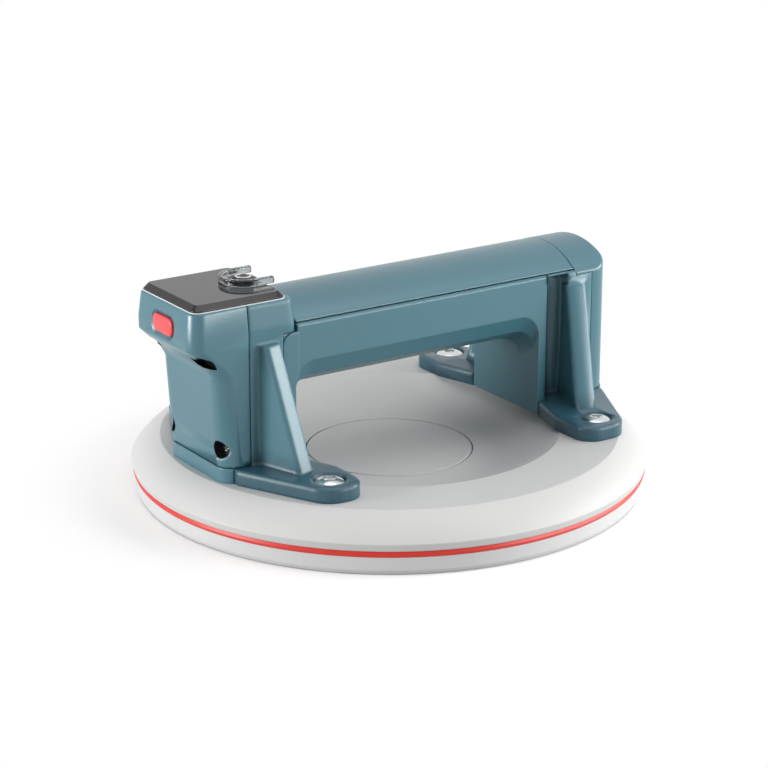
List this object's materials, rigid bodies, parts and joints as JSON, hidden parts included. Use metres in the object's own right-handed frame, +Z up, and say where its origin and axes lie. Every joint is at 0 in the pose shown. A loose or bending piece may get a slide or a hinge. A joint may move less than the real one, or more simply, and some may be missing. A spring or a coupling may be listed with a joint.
{
  "type": "electric vacuum suction lifter",
  "caption": "Battery-powered vacuum suction lifter for tiles and slabs: round rubber cup under a rigid disc, with a bar handle, pump head, display, power button and release button.",
  "frame": {"origin": "on the floor, at the middle of the disc", "axes": "+Z up, +X along the handle from the pump head to the far end, +Y to the side on which the suction port and its hose stand inside the pump housing"},
  "size_m": [0.205, 0.205, 0.095],
  "materials": {
    "housing_plastic": "satin moulded, fine grain",
    "disc_plastic": "satin moulded",
    "cup_rubber": "matte",
    "ring_red": "satin",
    "plate_metal": "mill finish",
    "window_black": "polished",
    "frame_light": "satin",
    "board_green": "solder mask",
    "button_black": "satin",
    "button_red": "satin",
    "guard_clear": "polished clear plastic",
    "screw_zinc": "bright zinc plated",
    "insert_brass": "machined",
    "spring_steel": "drawn wire",
    "motor_steel": "plated can",
    "rotor_steel": "ground",
    "pump_plastic": "moulded",
    "hose_silicone": "matte",
    "filter_foam": "open foam",
    "cell_wrap": "shrink wrap",
    "tray_plastic": "moulded"
  },
  "bodies": {
    "lifter": {"rubber_cup": "cup_rubber", "backing_plate": "plate_metal", "accent_ring": "ring_red", "disc_shell": "disc_plastic", "cover_plate": "disc_plastic", "foot_inserts": "insert_brass", "vacuum_port": "pump_plastic", "intake_filter": "filter_foam", "pump_tower": "housing_plastic", "far_tower": "housing_plastic", "pump_cap": "housing_plastic", "pump_plinth": "housing_plastic", "far_plinth": "housing_plastic", "far_cap": "housing_plastic", "grip_frame": "housing_plastic", "handle_top": "housing_plastic", "display_frame": "frame_light", "display_window": "window_black", "display_board": "board_green", "power_base": "button_black", "power_spring": "spring_steel", "power_guard": "guard_clear", "release_spring": "spring_steel", "release_valve": "insert_brass", "foot_screws": "screw_zinc", "cap_screws": "screw_zinc", "motor_case": "motor_steel", "vacuum_pump": "pump_plastic", "suction_hose": "hose_silicone", "battery_cells": "cell_wrap", "battery_tray": "tray_plastic", "control_board": "board_green"},
    "power_plunger": {"power_button": "button_black", "button_ring": "screw_zinc"},
    "release_plunger": {"release_button": "button_red"},
    "rotor": {"motor_rotor": "rotor_steel"}
  },
  "joints": [
    {"name": "power_press", "type": "slide", "parent": "lifter", "child": "power_plunger", "axis": [0, 0, -1], "range_m": [0, 0.0006], "stiffness_N_per_m": 400, "springref_m": -0.001, "deforming": ["power_spring"]},
    {"name": "release_press", "type": "slide", "parent": "lifter", "child": "release_plunger", "axis": [1, 0, 0], "range_m": [0, 0.0012], "stiffness_N_per_m": 600, "springref_m": -0.002, "deforming": ["release_spring"]},
    {"name": "motor_spin", "type": "hinge", "parent": "lifter", "child": "rotor", "pos_m": [-0.07525, 0, 0.044], "axis": [0, 0, 1], "continuous": true}
  ]
}
